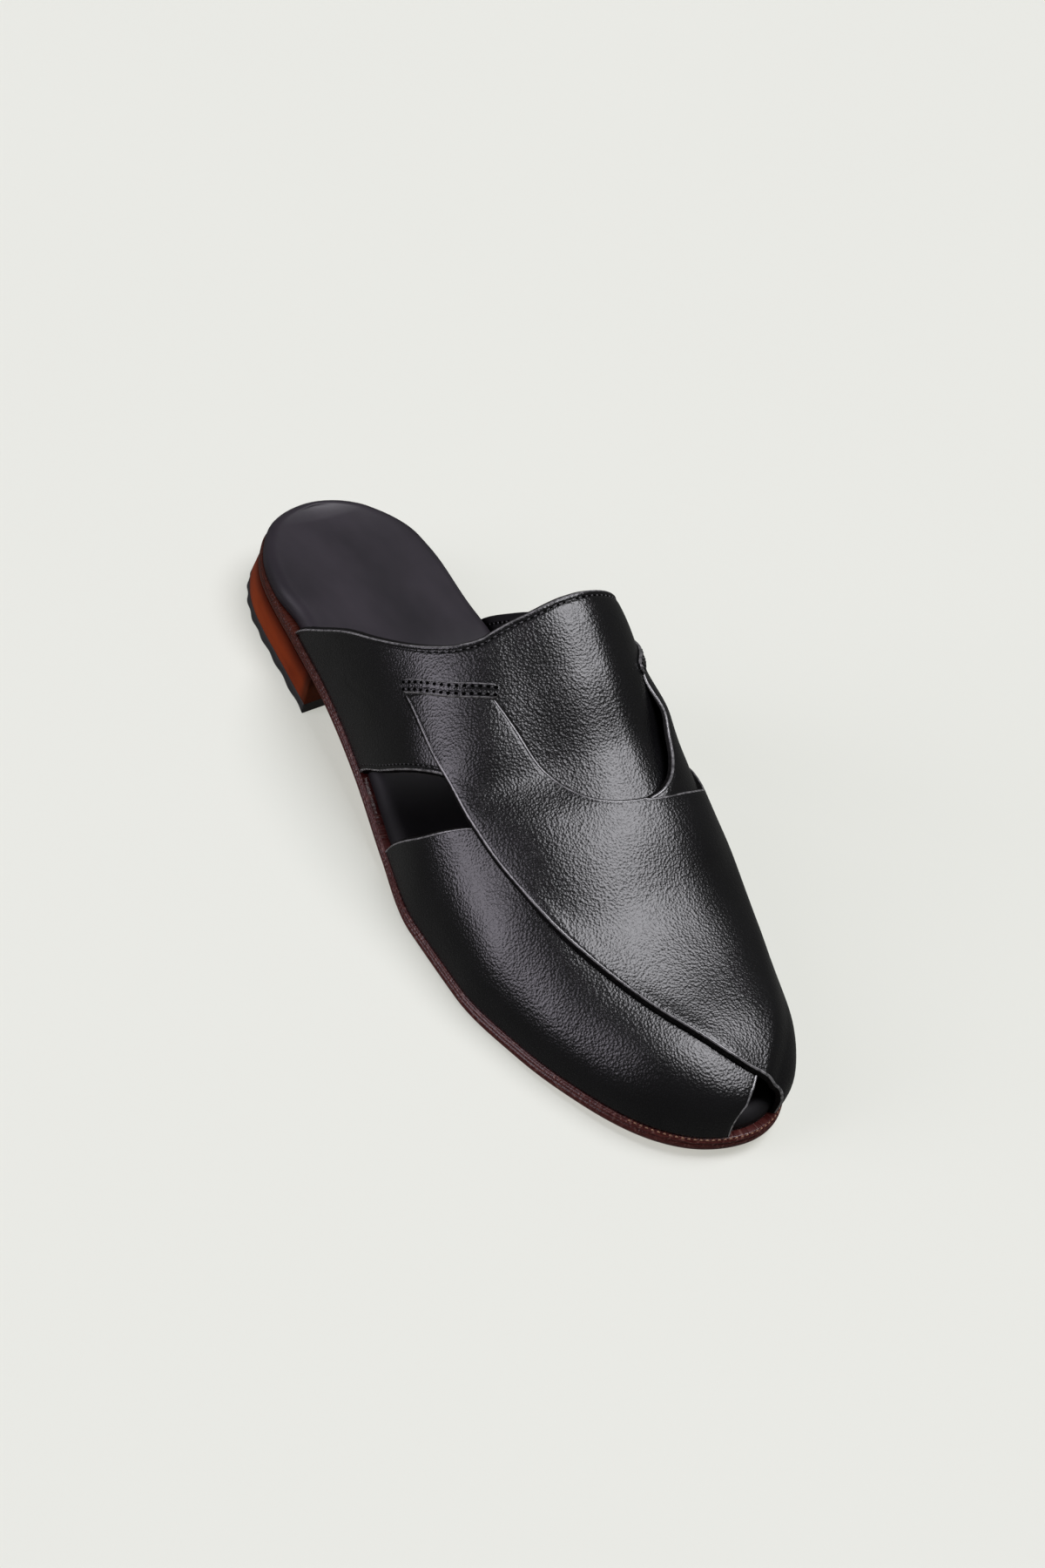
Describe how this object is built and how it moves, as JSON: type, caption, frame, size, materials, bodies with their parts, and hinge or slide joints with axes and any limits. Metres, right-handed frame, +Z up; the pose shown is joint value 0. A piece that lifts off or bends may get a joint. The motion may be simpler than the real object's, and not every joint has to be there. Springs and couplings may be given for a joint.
{
  "type": "peshawari chappal",
  "caption": "Backless leather mule with a stitched instep band, wide straps crossing over the forefoot, open sides and toe, padded insole, leather sole and low stacked heel.",
  "frame": {"origin": "centre of the overall box in plan, on the floor", "axes": "+X from heel to toe, +Y to the wearer's left (the inner side of this right shoe), +Z up"},
  "size_m": [0.2888, 0.096, 0.0885],
  "materials": {
    "top_lift": "matt black moulded rubber, ribbed edge",
    "heel_stack": "stacked leather, burnished burnt orange-brown",
    "outsole": "mahogany stained and polished leather edge, natural tan tread",
    "insole": "smooth black-aubergine lining leather, satin",
    "upper": "black full-grain leather with a fine pebble, semi-gloss"
  },
  "bodies": {
    "root": {"top_lift": "top_lift", "heel_stack": "heel_stack", "outsole": "outsole", "insole": "insole", "upper": "upper"}
  },
  "joints": []
}
